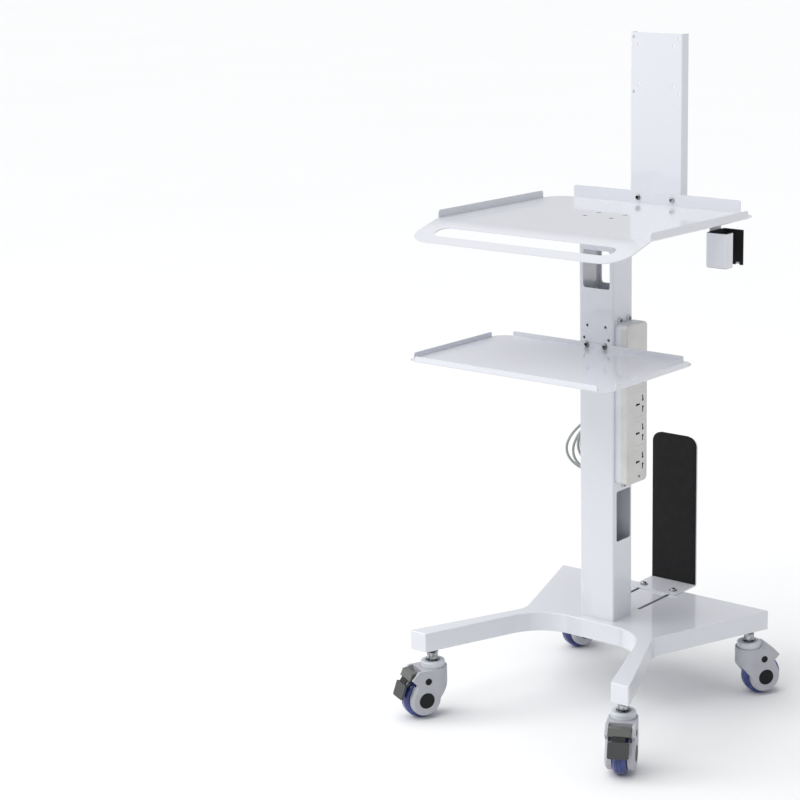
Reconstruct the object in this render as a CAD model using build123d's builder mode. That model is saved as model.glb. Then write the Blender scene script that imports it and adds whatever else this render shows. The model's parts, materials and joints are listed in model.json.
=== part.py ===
"""Ultrasound trolley: a sheet-steel cart with a box base on four twin-plate casters, a fixed column,
two trays, a folded monitor plate, a probe holder, a power strip and a sliding rear bracket.

Frame: the origin is on the floor under the middle of the column, +X to the right of a person who
faces the front, the front faces -Y, +Z up. All sizes are in millimetres.
"""

import os
from math import cos, pi, radians, sin, sqrt, tan

from build123d import *

# ---------------------------------------------------------------- driving dimensions
# base box and its splayed front legs
BASE_BOTTOM = 129.0
BASE_TOP = 165.0
BASE_SHEET = 2.5
REAR_X, REAR_Y = 242.0, 192.0  # rear corners
WAIST_X, WAIST_Y = 145.8, -57.8  # where the tapering side meets the leg
FOOT_OUTER_X, FOOT_INNER_X, FOOT_Y = 246.0, 207.5, -280.0
CROTCH_X, CROTCH_Y = 116.0, -47.6  # front edge of the crossbar, where the leg starts
WAIST_R, CROTCH_R = 45.0, 92.0
SLOT_X, SLOT_Y0, SLOT_Y1, SLOT_W = 34.2, 57.0, 185.0, 7.0
BASE_CORNER_R, BASE_EDGE_R = 2.5, 1.5

# column
COLUMN_W, COLUMN_D, COLUMN_WALL, COLUMN_R = 76.0, 60.0, 2.5, 3.5
FOOT_BOLT_GRID, FOOT_BOLT_R, FOOT_HOLE_R = (44.0, 30.0), 4.0, 4.2
WINDOW_HALF, WINDOW_Z0, WINDOW_Z1, WINDOW_R = 29.5, 792.5, 862.0, 5.0  # through front and back
SIDE_WINDOW_Y, SIDE_WINDOW_Z0, SIDE_WINDOW_Z1 = (-20.0, 25.0), 318.5, 415.0
HOLE_ROWS = ((20.0, 723.3, 2.75), (27.0, 700.0, 2.75))  # half spacing, height, radius
TOP_PLATE = 3.0

# trays
SHEET = 2.0
TOP_Z = 922.0  # the top tray's working surface
TOP_HALF, TOP_FRONT, TOP_BACK = 229.0, -195.0, 160.0
LIP_END_Y, LIP_H = 115.0, 13.5
FLANGE_HALF, FLANGE_H = 186.0, 23.0
TOP_CORNER_R = 43.0
HANDLE_TILT, HANDLE_LEN, HANDLE_R = 16.0, 97.0, 44.0
BEND_R, LIP_R, FLANGE_R, CORNER_CUT = 3.0, 4.0, 5.0, 80.0
GRIP_S0, GRIP_S1, GRIP_HALF = 33.5, 70.5, 191.0
TRAY_SCREWS = (29.0, -24.0, 20.0)  # half spacing in X, two rows in Y
SCREW_R, SCREW_HEAD_R, SCREW_L, SCREW_HEX_R = 2.5, 5.0, 12.0, 1.9
LOW_Z = 683.0  # the lower tray's surface
LOW_HALF, LOW_FRONT, LOW_BACK, LOW_LIP_H = 219.0, -304.0, -30.0, 9.0
LOW_REAR_R, LOW_FRONT_R, LOW_BEND_R = 30.0, 22.0, 2.6
LOW_BOLT_X, LOW_BOLT_Z = 20.0, 688.5
M6_R, M6_HOLE_R, M6_NUT_R, M6_NUT_H = 3.0, 3.2, 5.7, 5.0

# monitor plate, a channel folded back at both sides
PLATE_HALF, PLATE_Z0, PLATE_TOP, PLATE_FOLD = 57.5, 925.0, 1237.0, 20.0
VESA_Z, VESA_SIZES, VESA_HOLE_R = 1178.5, (100.0, 75.0), 2.5
PLATE_BOLT_X, PLATE_BOLT_Z = 38.0, 933.3

# probe holder under the top tray's right edge
CUP_X0, CUP_X1, CUP_Y0, CUP_Y1, CUP_Z0, CUP_Z1 = 194.0, 237.0, 30.0, 90.0, 843.5, 904.5
CUP_RETURN, CUP_LINING, CUP_TAB_Y, CUP_R, CUP_TAB_LAP = 22.0, 3.0, (42.0, 78.0), 4.0, 8.0
CUP_SCREW_X, CUP_SCREW_Y, CUP_SCREW_EDGE = 175.0, (51.0, 69.0), 10.0
LINING_PROUD, NOTCH_X, NOTCH_W, NOTCH_H = 1.0, 226.0, 9.0, 5.0
M4_R, M4_HOLE_R = 2.0, 2.2

# power strip on the column's right side
STRIP_Y0, STRIP_Y1, STRIP_Z0, STRIP_Z1 = -25.0, 40.0, 431.0, 730.0
STRIP_SPLIT, STRIP_DEEP, STRIP_R, STRIP_WALL = 13.0, 27.0, 9.0, 2.5  # depths from the column's side
SOCKET_Y, SOCKET_PITCH, SOCKET_Z0, SOCKETS = 16.0, 54.2, 470.0, 4
SOCKET_W, SOCKET_H = 38.0, 46.0
LAMP_Y, LAMP_Z = 13.7, 442.0
STRIP_SCREWS = ((-10.0, 735.5), (18.0, 735.5), (2.0, 425.0))  # Y, Z

# rear bracket
BRACKET_HALF, BRACKET_SHEET, BRACKET_Y0, BRACKET_Y1 = 51.0, 3.0, 158.0, 235.0
BRACKET_TOP, BRACKET_GAP, BRACKET_BOLT_Y = 464.0, 0.2, 177.0
HEEL_R, TOE_R, WASHER_T, BRACKET_WASHER_R = 4.0, 5.0, 1.6, 7.5
PAD_HALF, PAD_THICK, PAD_TOP, PAD_R = 50.0, 4.0, 466.0, 20.0

# casters: u runs back from the stem along the heading, w along the axle, z up from the floor
WHEEL_R, TYRE_HALF, TYRE_ROUND, RIM_R = 37.5, 12.3, 8.0, 28.5
HUB_HALF, HUB_STEP, HUB_R = 13.0, 2.0, 11.0
TRAIL = 25.0
HOUSING_HALF, HOUSING_TOP, CHEEK_R, CHEEK_BEVEL = 26.2, 95.0, 29.5, 4.0
# side view of the housing from the skirt round to the tail
SKIRT = ((-4.4, 40.1), (-19.0, 57.0), (-HOUSING_HALF, 70.0), (-HOUSING_HALF, HOUSING_TOP))
TAIL = ((39.0, HOUSING_TOP), (53.0, 80.0), (43.0, 70.0), (51.7, 50.0))
WELL_HALF, WELL_TOP, WELL_U0 = 13.9, 79.0, -17.0
CUT_HALF, CUT_U, CUT_Z, CUT_LOW_U, CUT_LOW_Z = 20.8, 31.0, 65.0, 56.0, 25.0  # in a braked tail
AXLE_R, KINGPIN_R, CAP_R, PLUG_R = 4.0, 5.0, 15.0, 6.5
CAP_DEPTH, CAP_PROUD, PLUG_U, PLUG_Z = 3.0, 0.4, 21.0, 74.0
RUN = 0.05  # radial clearance of a running fit
RING_R, RING_Z0, RING_Z1, RING_RECESS = 22.5, 94.4, 106.4, 1.0
DISH_R, DISH_Z = 13.5, 103.0
STEM_R, STEM_TOP = 6.0, 155.0
BRAKE_U, BRAKE_Z, BRAKE_PIN_R, BRAKE_PIN_HALF = 39.0, 84.0, 2.0, 23.5
SLEEVE_R, SLEEVE_HALF, ARM_INNER = 4.2, 15.0, 10.0
PLATE_HALF_W, TAB_HALF_W, NECK_HALF_W = 18.7, 20.0, 11.0
# side views of the pedal's release tab, neck, foot plate and arms
PEDAL_TAB = ((43, 93.5), (52, 92.5), (57.5, 80), (54.5, 78.8), (49.6, 89.6), (43, 90.5))
PEDAL_NECK = ((54.5, 79.5), (57.2, 80.8), (64.4, 71.5), (61.4, 69.5))
PEDAL_PLATE = ((61.0, 71.5), (64.8, 73.0), (74.0, 45.5), (70.2, 44.1))
PEDAL_ARM = ((38.0, 80.5), (39.0, 88.0), (48.0, 91.5), (54.6, 81.5), (55.5, 79.2))
FRONT_STEM, REAR_STEM = (215.0, -252.0), (212.0, 170.0)
# name, stem x, stem y, heading in degrees from +X, with a brake
CASTERS = (
    ("front_left", -FRONT_STEM[0], FRONT_STEM[1], -115.0, True),
    ("front_right", FRONT_STEM[0], FRONT_STEM[1], -63.0, True),
    ("rear_left", -REAR_STEM[0], REAR_STEM[1], 70.0, False),
    ("rear_right", REAR_STEM[0], REAR_STEM[1], 57.0, False),
)

# power cord: out of the strip's back, through the column, out of its rear wall, coiled behind it
CORD_D = 5.0
GLAND_X, GLAND_Z, GLAND_END = 4.0, 640.0, 54.0
GLAND_NECK_R, INLET_R = 5.5, 4.0
INLET_Y = -14.0  # where the cord passes from the strip into the column
LEAD_ROUTE = [(4, 54, 640), (4, 82, 640), (3, 102, 618), (5, 100, 588), (4, 84, 563), (-19, 63, 547)]
TAIL_ROUTE = [(-52, 36, 451), (-30, 37, 448), (-8, 41, 437), (2, 45, 414), (4, 47, 386)]
COIL_Y0, COIL_Y1 = 34.6, 61.8
# corners of the coil's outline and of its open middle in X and Z, each with its rounding
COIL_OUTLINE = ((-30, 570, 30), (-160, 462, 40), (-112, 404, 34), (8, 404, 34), (46, 462, 40))
COIL_MIDDLE = ((-34, 542, 14), (-90, 480, 14), (-70, 460, 12), (-18, 460, 12), (0, 480, 14))
TIE_X, TIE_W, TIE_T = -26.0, 12.0, 1.2
TIE_Y0, TIE_Y1, TIE_Z0, TIE_Z1 = 33.0, 62.2, 540.4, 548.8  # inside of the strap
PLUG_PLACE, PLUG_NECK, PLUG_BODY = (4.0, 47.0, 386.0), 14.0, 40.0

# a solid stands on its place, or hangs from it
MIN_Z, MAX_Z = (Align.CENTER, Align.CENTER, Align.MIN), (Align.CENTER, Align.CENTER, Align.MAX)

os.makedirs("parts", exist_ok=True)


def save(builder, name):
    """Label a finished piece and write its STEP."""
    builder.part.label = name
    export_step(builder.part, f"parts/{name}.step")


def button_screw(radius, shank, head_r, head_h, hex_r):
    """A button-head screw on +Z: the head stands above 0 with a hex recess, the shank goes down."""
    with BuildPart() as screw:
        Cylinder(head_r, head_h, align=MIN_Z)
        fillet(screw.edges().group_by(Axis.Z)[-1], head_h * 0.75)
        Cylinder(radius, shank, align=MAX_Z)
        with BuildSketch(Plane.XY.offset(head_h)):
            RegularPolygon(hex_r, 6)
        extrude(amount=-head_h * 0.6, mode=Mode.SUBTRACT)
    return screw.part



# ---------------------------------------------------------------- base
with BuildPart() as base_shell:
    # the plan: a tapering box, a waist and two splayed legs
    with BuildSketch(Plane.XY.offset(BASE_BOTTOM)) as base_plan:
        with BuildLine():
            Polyline(
                (0, REAR_Y),
                (REAR_X, REAR_Y),
                (WAIST_X, WAIST_Y),
                (FOOT_OUTER_X, FOOT_Y),
                (FOOT_INNER_X, FOOT_Y),
                (CROTCH_X, CROTCH_Y),
                (0, CROTCH_Y),
            )
            mirror(about=Plane.YZ)
        make_face()
        corners = base_plan.vertices()
        fillet([v for v in corners if abs(abs(v.X) - WAIST_X) < 1], WAIST_R)
        corners = base_plan.vertices()
        fillet([v for v in corners if abs(abs(v.X) - CROTCH_X) < 1], CROTCH_R)
    extrude(amount=BASE_TOP - BASE_BOTTOM)
    uprights = base_shell.edges().filter_by(Axis.Z)
    fillet([e for e in uprights if abs(e.center().X) > FOOT_INNER_X - 5], BASE_CORNER_R)
    fillet(base_shell.faces().sort_by(Axis.Z)[-1].edges(), BASE_EDGE_R)
    with BuildSketch(Plane.XY.offset(BASE_BOTTOM)):
        add(base_plan.sketch.faces()[0])
        offset(amount=-BASE_SHEET, kind=Kind.INTERSECTION, mode=Mode.REPLACE)
    extrude(amount=BASE_TOP - BASE_SHEET - BASE_BOTTOM, mode=Mode.SUBTRACT)
    # slots for the rear bracket's bolts, and four holes for the column's foot bolts
    with BuildSketch(Plane.XY.offset(BASE_TOP)):
        with Locations((-SLOT_X, (SLOT_Y0 + SLOT_Y1) / 2), (SLOT_X, (SLOT_Y0 + SLOT_Y1) / 2)):
            SlotOverall(SLOT_Y1 - SLOT_Y0, SLOT_W, rotation=90)
        with GridLocations(*FOOT_BOLT_GRID, 2, 2):
            Circle(FOOT_HOLE_R)
    extrude(amount=-BASE_SHEET * 2, mode=Mode.SUBTRACT)
save(base_shell, "base_shell")

BOTTOM_CLEAR = 0.3
STEM_HOLE_R, SOCKET_TUBE_R, NUT_ACCESS_R = 10.2, 10.0, 9.0
STEM_PLACES = [(x, y) for _, x, y, _, _ in CASTERS]
with BuildPart() as base_bottom_plate:
    with BuildSketch(Plane.XY.offset(BASE_BOTTOM)):
        add(base_plan.sketch.faces()[0])
        offset(amount=-BASE_SHEET - BOTTOM_CLEAR, kind=Kind.INTERSECTION, mode=Mode.REPLACE)
        with Locations(*STEM_PLACES):
            Circle(STEM_HOLE_R, mode=Mode.SUBTRACT)
        with GridLocations(*FOOT_BOLT_GRID, 2, 2):
            Circle(NUT_ACCESS_R, mode=Mode.SUBTRACT)
    extrude(amount=BASE_SHEET)
save(base_bottom_plate, "base_bottom_plate")

SOCKET_TOP = BASE_TOP - BASE_SHEET
with BuildPart() as caster_sockets:
    with Locations(*[(x, y, BASE_BOTTOM) for x, y in STEM_PLACES]):
        Cylinder(SOCKET_TUBE_R, SOCKET_TOP - BASE_BOTTOM, align=MIN_Z)
        Cylinder(STEM_R, 2 * (SOCKET_TOP - BASE_BOTTOM), mode=Mode.SUBTRACT)
save(caster_sockets, "caster_sockets")

NUT_Z0, NUT_H, NUT_R = 109.0, 13.0, 11.0
WASHER_R, COLLAR_R, COLLAR_H = 10.5, 8.5, 4.0
KINGPIN_END, KINGPIN_HEAD_R, KINGPIN_HEAD_TOP = 79.6, 7.5, 83.6
with BuildPart() as caster_stems:
    with Locations(*[(x, y, 0) for x, y in STEM_PLACES]):
        with Locations((0, 0, DISH_Z)):
            Cylinder(STEM_R, STEM_TOP - DISH_Z, align=MIN_Z)
            Cylinder(WASHER_R, COLLAR_H, align=MIN_Z)
        with Locations((0, 0, BASE_BOTTOM)):
            Cylinder(COLLAR_R, COLLAR_H, align=MAX_Z)
        with Locations((0, 0, KINGPIN_END)):
            Cylinder(KINGPIN_R, DISH_Z - KINGPIN_END, align=MIN_Z)
            Cylinder(KINGPIN_HEAD_R, KINGPIN_HEAD_TOP - KINGPIN_END, align=MIN_Z)
    with BuildSketch(Plane.XY.offset(NUT_Z0)):
        with Locations(*STEM_PLACES):
            RegularPolygon(NUT_R, 6)
    extrude(amount=NUT_H)
save(caster_stems, "caster_stems")

with BuildPart() as caster_rings:
    with Locations(*[(x, y, RING_Z0) for x, y in STEM_PLACES]):
        Cylinder(RING_R, RING_Z1 - RING_Z0, align=MIN_Z)
    fillet(caster_rings.edges().filter_by(GeomType.CIRCLE).group_by(Axis.Z)[-1], 3.0)
    with Locations(*[(x, y, RING_Z0) for x, y in STEM_PLACES]):
        Cylinder(KINGPIN_R, RING_Z1 - RING_Z0, align=MIN_Z, mode=Mode.SUBTRACT)
    with Locations(*[(x, y, DISH_Z) for x, y in STEM_PLACES]):
        Cylinder(DISH_R, RING_Z1 - DISH_Z, align=MIN_Z, mode=Mode.SUBTRACT)
save(caster_rings, "caster_rings")

# ---------------------------------------------------------------- column and what joins it
STIFFENER_T, FOOT_PLATE_T, JOIN_PLATE_R = 4.0, 8.0, 6.0
STIFFENER_SIZE, STIFFENER_Y, TOP_PLATE_SIZE = (200.0, 86.0), 3.0, (124.0, 96.0)
with BuildPart() as base_stiffener:
    with BuildSketch(Plane.XY.offset(BASE_TOP - BASE_SHEET)):
        with Locations((0, STIFFENER_Y)):
            RectangleRounded(*STIFFENER_SIZE, JOIN_PLATE_R)
        with GridLocations(*FOOT_BOLT_GRID, 2, 2):
            Circle(FOOT_HOLE_R, mode=Mode.SUBTRACT)
    extrude(amount=-STIFFENER_T)
save(base_stiffener, "base_stiffener")

COLUMN_TOP = TOP_Z - SHEET - TOP_PLATE
COLUMN_IN_W, COLUMN_IN_D = COLUMN_W - 2 * COLUMN_WALL, COLUMN_D - 2 * COLUMN_WALL
with BuildPart() as column:
    with BuildSketch(Plane.XY.offset(BASE_TOP)):
        RectangleRounded(COLUMN_W, COLUMN_D, COLUMN_R)
        RectangleRounded(COLUMN_IN_W, COLUMN_IN_D, COLUMN_R - COLUMN_WALL, mode=Mode.SUBTRACT)
    extrude(amount=COLUMN_TOP - BASE_TOP)
    # the square window near the top goes through the front and the back wall
    with BuildSketch(Plane.XZ):
        with Locations((0, (WINDOW_Z0 + WINDOW_Z1) / 2)):
            RectangleRounded(2 * WINDOW_HALF, WINDOW_Z1 - WINDOW_Z0, WINDOW_R)
    extrude(amount=COLUMN_D, both=True, mode=Mode.SUBTRACT)
    # the window low in the right wall
    with BuildSketch(Plane.YZ.offset(COLUMN_W / 2)):
        with Locations((sum(SIDE_WINDOW_Y) / 2, (SIDE_WINDOW_Z0 + SIDE_WINDOW_Z1) / 2)):
            RectangleRounded(
                SIDE_WINDOW_Y[1] - SIDE_WINDOW_Y[0], SIDE_WINDOW_Z1 - SIDE_WINDOW_Z0, WINDOW_R
            )
    extrude(amount=-COLUMN_WALL * 2, mode=Mode.SUBTRACT)
    # spare hole pairs and the lower tray's bolt holes in the front wall
    with BuildSketch(Plane.XZ.offset(COLUMN_D / 2)):
        for half, height, radius in HOLE_ROWS + ((LOW_BOLT_X, LOW_BOLT_Z, M6_HOLE_R),):
            with Locations((-half, height), (half, height)):
                Circle(radius)
    extrude(amount=-COLUMN_WALL * 2, mode=Mode.SUBTRACT)
    # threaded holes for the power strip's screws in the right wall, and the cord's two holes
    with BuildSketch(Plane.YZ.offset(COLUMN_W / 2)):
        with Locations(*STRIP_SCREWS):
            Circle(M4_R)
        with Locations((INLET_Y, GLAND_Z)):
            Circle(INLET_R)
    extrude(amount=-COLUMN_WALL * 2, mode=Mode.SUBTRACT)
    with BuildSketch(Plane.XZ.offset(-COLUMN_D / 2)):
        with Locations((GLAND_X, GLAND_Z)):
            Circle(GLAND_NECK_R)
    extrude(amount=COLUMN_WALL * 2, mode=Mode.SUBTRACT)
save(column, "column")

with BuildPart() as column_foot_plate:
    with BuildSketch(Plane.XY.offset(BASE_TOP)):
        RectangleRounded(COLUMN_IN_W, COLUMN_IN_D, COLUMN_R - COLUMN_WALL)
        with GridLocations(*FOOT_BOLT_GRID, 2, 2):
            Circle(FOOT_BOLT_R, mode=Mode.SUBTRACT)
    extrude(amount=FOOT_PLATE_T)
save(column_foot_plate, "column_foot_plate")

BOLT_HEAD_H, BOLT_HEAD_R, BOLT_PROUD = 5.3, 7.2, 2.0
with BuildPart() as column_foot_bolts:
    with BuildSketch(Plane.XY.offset(BASE_TOP - BASE_SHEET - STIFFENER_T)):
        with GridLocations(*FOOT_BOLT_GRID, 2, 2):
            RegularPolygon(BOLT_HEAD_R, 6)
    extrude(amount=-BOLT_HEAD_H)
    with BuildSketch(Plane.XY.offset(BASE_TOP - BASE_SHEET - STIFFENER_T)):
        with GridLocations(*FOOT_BOLT_GRID, 2, 2):
            Circle(FOOT_BOLT_R)
    extrude(amount=BASE_SHEET + STIFFENER_T + FOOT_PLATE_T + BOLT_PROUD)
save(column_foot_bolts, "column_foot_bolts")

SCREW_XY = [(x, y) for x in (-TRAY_SCREWS[0], TRAY_SCREWS[0]) for y in TRAY_SCREWS[1:]]
with BuildPart() as column_top_plate:
    with BuildSketch(Plane.XY.offset(COLUMN_TOP)):
        RectangleRounded(*TOP_PLATE_SIZE, JOIN_PLATE_R)
        with Locations(*SCREW_XY):
            Circle(SCREW_R, mode=Mode.SUBTRACT)
    extrude(amount=TOP_PLATE)
save(column_top_plate, "column_top_plate")

# ---------------------------------------------------------------- top tray
handle_plane = Plane(
    origin=(0, TOP_FRONT, TOP_Z),
    x_dir=(1, 0, 0),
    z_dir=(0, -sin(radians(HANDLE_TILT)), cos(radians(HANDLE_TILT))),
)  # its local -Y runs down the tilted plate
# the underside of the tilted plate starts this far behind and below the bend
BEND_Y, BEND_Z = SHEET * sin(radians(HANDLE_TILT)), SHEET * cos(radians(HANDLE_TILT))
with BuildPart() as top_tray:
    with BuildSketch(Plane.XY.offset(TOP_Z - SHEET)) as top_plan:
        with Locations((0, (TOP_FRONT + TOP_BACK) / 2)):
            Rectangle(2 * TOP_HALF, TOP_BACK - TOP_FRONT)
        fillet(top_plan.vertices().group_by(Axis.Y)[-1], TOP_CORNER_R)
    extrude(amount=SHEET + FLANGE_H)
    outer = top_tray.faces().sort_by(Axis.Z)[0].edges()
    fillet([e for e in outer if e.center().Y > TOP_FRONT + 1], BEND_R)
    with BuildSketch(Plane.XY.offset(TOP_Z)) as top_well:
        with Locations((0, (TOP_FRONT + TOP_BACK) / 2 - SHEET)):
            Rectangle(2 * (TOP_HALF - SHEET), TOP_BACK - TOP_FRONT)
        fillet(top_well.vertices().group_by(Axis.Y)[-1], TOP_CORNER_R - SHEET)
    extrude(amount=SHEET + FLANGE_H, mode=Mode.SUBTRACT)
    # side lips are lower than the back flange, and the rounded corners have none
    with Locations((0, (LIP_END_Y + TOP_FRONT) / 2, TOP_Z + LIP_H)):
        Box(
            3 * TOP_HALF,
            LIP_END_Y - TOP_FRONT,
            FLANGE_H,
            align=MIN_Z,
            mode=Mode.SUBTRACT,
        )
    for side in (-1, 1):
        with Locations((side * (FLANGE_HALF + CORNER_CUT / 2), LIP_END_Y + CORNER_CUT / 2, TOP_Z)):
            Box(CORNER_CUT, CORNER_CUT, CORNER_CUT, align=MIN_Z, mode=Mode.SUBTRACT)
    # round the free ends of the lips and of the flange
    ends = top_tray.edges().filter_by(Axis.X).filter_by(lambda e: e.length < 2 * SHEET)
    fillet([e for e in ends if e.center().Z > TOP_Z + LIP_H - 1], LIP_R)
    ends = top_tray.edges().filter_by(Axis.Y).filter_by(lambda e: e.length < 2 * SHEET)
    fillet([e for e in ends if e.center().Z > TOP_Z + FLANGE_H - 1], FLANGE_R)
    # handle: the front of the same sheet, bent down, with a long slot for the hand
    with BuildSketch(handle_plane) as grip_plan:
        with Locations((0, -HANDLE_LEN / 2)):
            Rectangle(2 * TOP_HALF, HANDLE_LEN)
        fillet(grip_plan.vertices().group_by(Axis.Y)[0], HANDLE_R)
        with Locations((0, -(GRIP_S0 + GRIP_S1) / 2)):
            SlotOverall(2 * GRIP_HALF, GRIP_S1 - GRIP_S0, mode=Mode.SUBTRACT)
    extrude(amount=-SHEET)
    # the wedge that the bend leaves open on its underside
    with BuildSketch(Plane.YZ.offset(-TOP_HALF)):
        with BuildLine():
            Polyline(
                (TOP_FRONT, TOP_Z),
                (TOP_FRONT, TOP_Z - SHEET),
                (TOP_FRONT + BEND_Y, TOP_Z - SHEET),
                (TOP_FRONT + BEND_Y, TOP_Z - BEND_Z),
                close=True,
            )
        make_face()
    extrude(amount=2 * TOP_HALF)
    # holes for the column's screws and for the monitor plate's bolts
    with Locations(*[(x, y, TOP_Z) for x, y in SCREW_XY]):
        CounterSinkHole(SCREW_R + 0.2, SCREW_HEAD_R, depth=2 * SHEET)
    with BuildSketch(Plane.XZ.offset(-TOP_BACK)):
        with Locations((-PLATE_BOLT_X, PLATE_BOLT_Z), (PLATE_BOLT_X, PLATE_BOLT_Z)):
            Circle(M6_HOLE_R)
    extrude(amount=SHEET * 2, mode=Mode.SUBTRACT)
save(top_tray, "top_tray")

with BuildPart() as top_tray_screws:
    with Locations(*[(x, y, TOP_Z) for x, y in SCREW_XY]):
        Cone(SCREW_R, SCREW_HEAD_R, SHEET, align=MAX_Z)
        Cylinder(SCREW_R, SCREW_L, align=MAX_Z)
    with BuildSketch(Plane.XY.offset(TOP_Z)):
        with Locations(*SCREW_XY):
            RegularPolygon(SCREW_HEX_R, 6)
    extrude(amount=-0.8 * SHEET, mode=Mode.SUBTRACT)
save(top_tray_screws, "top_tray_screws")

# ---------------------------------------------------------------- lower tray
LOW_MID_Y = (LOW_FRONT + LOW_BACK) / 2
LOW_TOP = LOW_Z + LOW_LIP_H
with BuildPart() as lower_tray:
    with BuildSketch(Plane.XY.offset(LOW_Z - SHEET)) as low_plan:
        with Locations((0, LOW_MID_Y)):
            Rectangle(2 * LOW_HALF, LOW_BACK - LOW_FRONT)
        fillet(low_plan.vertices().group_by(Axis.Y)[-1], LOW_REAR_R)
        fillet(low_plan.vertices().group_by(Axis.Y)[0], LOW_FRONT_R)
    extrude(amount=SHEET + LOW_LIP_H)
    fillet(lower_tray.faces().sort_by(Axis.Z)[0].edges(), LOW_BEND_R)
    with BuildSketch(Plane.XY.offset(LOW_Z)) as low_well:
        with Locations((0, LOW_MID_Y)):
            Rectangle(2 * (LOW_HALF - SHEET), LOW_BACK - LOW_FRONT - 2 * SHEET)
        fillet(low_well.vertices().group_by(Axis.Y)[-1], LOW_REAR_R - SHEET)
        fillet(low_well.vertices().group_by(Axis.Y)[0], LOW_FRONT_R - SHEET)
    extrude(amount=SHEET + LOW_LIP_H, mode=Mode.SUBTRACT)
    # the four rounded corners have no lip
    for side in (-1, 1):
        for corner_y, radius in ((LOW_BACK, LOW_REAR_R), (LOW_FRONT, LOW_FRONT_R)):
            with Locations((side * LOW_HALF, corner_y, LOW_Z)):
                Box(2 * radius, 2 * radius, 2 * radius, align=MIN_Z, mode=Mode.SUBTRACT)
    for axis in (Axis.X, Axis.Y):
        ends = lower_tray.edges().filter_by(axis).filter_by(lambda e: e.length < 2 * SHEET)
        fillet([e for e in ends if e.center().Z > LOW_TOP - 1], BEND_R)
    with BuildSketch(Plane.XZ.offset(-LOW_BACK)):
        with Locations((-LOW_BOLT_X, LOW_BOLT_Z), (LOW_BOLT_X, LOW_BOLT_Z)):
            Circle(M6_HOLE_R)
    extrude(amount=SHEET * 2, mode=Mode.SUBTRACT)
save(lower_tray, "lower_tray")

low_bolt = button_screw(M6_R, 14.0, 5.4, 3.3, 2.9)
LOW_NUT_Y = -COLUMN_D / 2 + COLUMN_WALL
with BuildPart() as lower_tray_bolts:
    for side in (-1, 1):
        with Locations(Plane((side * LOW_BOLT_X, LOW_BACK - SHEET, LOW_BOLT_Z), z_dir=(0, -1, 0))):
            add(low_bolt)
    with BuildSketch(Plane.XZ.offset(-LOW_NUT_Y)):
        with Locations((-LOW_BOLT_X, LOW_BOLT_Z), (LOW_BOLT_X, LOW_BOLT_Z)):
            RegularPolygon(M6_NUT_R, 6)
    extrude(amount=-M6_NUT_H)
save(lower_tray_bolts, "lower_tray_bolts")

# ---------------------------------------------------------------- monitor plate
with BuildPart() as monitor_plate:
    with BuildSketch(Plane.XY.offset(PLATE_Z0)) as channel:
        with Locations((0, TOP_BACK + PLATE_FOLD / 2)):
            Rectangle(2 * PLATE_HALF, PLATE_FOLD)
        fillet(channel.vertices().group_by(Axis.Y)[0], BEND_R)
        with Locations((0, TOP_BACK + SHEET + PLATE_FOLD / 2)):
            Rectangle(2 * (PLATE_HALF - SHEET), PLATE_FOLD, mode=Mode.SUBTRACT)
    extrude(amount=PLATE_TOP - PLATE_Z0)
    with BuildSketch(Plane.XZ.offset(-TOP_BACK)):
        for size in VESA_SIZES:
            with Locations((0, VESA_Z)):
                with GridLocations(size, size, 2, 2):
                    Circle(VESA_HOLE_R)
        with Locations((-PLATE_BOLT_X, PLATE_BOLT_Z), (PLATE_BOLT_X, PLATE_BOLT_Z)):
            Circle(M6_HOLE_R)
    extrude(amount=-SHEET * 2, mode=Mode.SUBTRACT)
    # the folded sides' lower corners are cut back
    sides = monitor_plate.edges().filter_by(Axis.X).filter_by(lambda e: e.length < 2 * SHEET)
    low_ends = [e for e in sides if e.center().Z < PLATE_Z0 + 1]
    chamfer([e for e in low_ends if e.center().Y > TOP_BACK + PLATE_FOLD - 1], 5.0)
save(monitor_plate, "monitor_plate")

with BuildPart() as monitor_plate_bolts:
    for side in (-1, 1):
        bolt_foot = (side * PLATE_BOLT_X, TOP_BACK - SHEET, PLATE_BOLT_Z)
        with Locations(Plane(bolt_foot, z_dir=(0, -1, 0))):
            add(low_bolt)
    with BuildSketch(Plane.XZ.offset(-TOP_BACK - SHEET)):
        with Locations((-PLATE_BOLT_X, PLATE_BOLT_Z), (PLATE_BOLT_X, PLATE_BOLT_Z)):
            RegularPolygon(M6_NUT_R, 6)
    extrude(amount=-M6_NUT_H)
save(monitor_plate_bolts, "monitor_plate_bolts")

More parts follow.
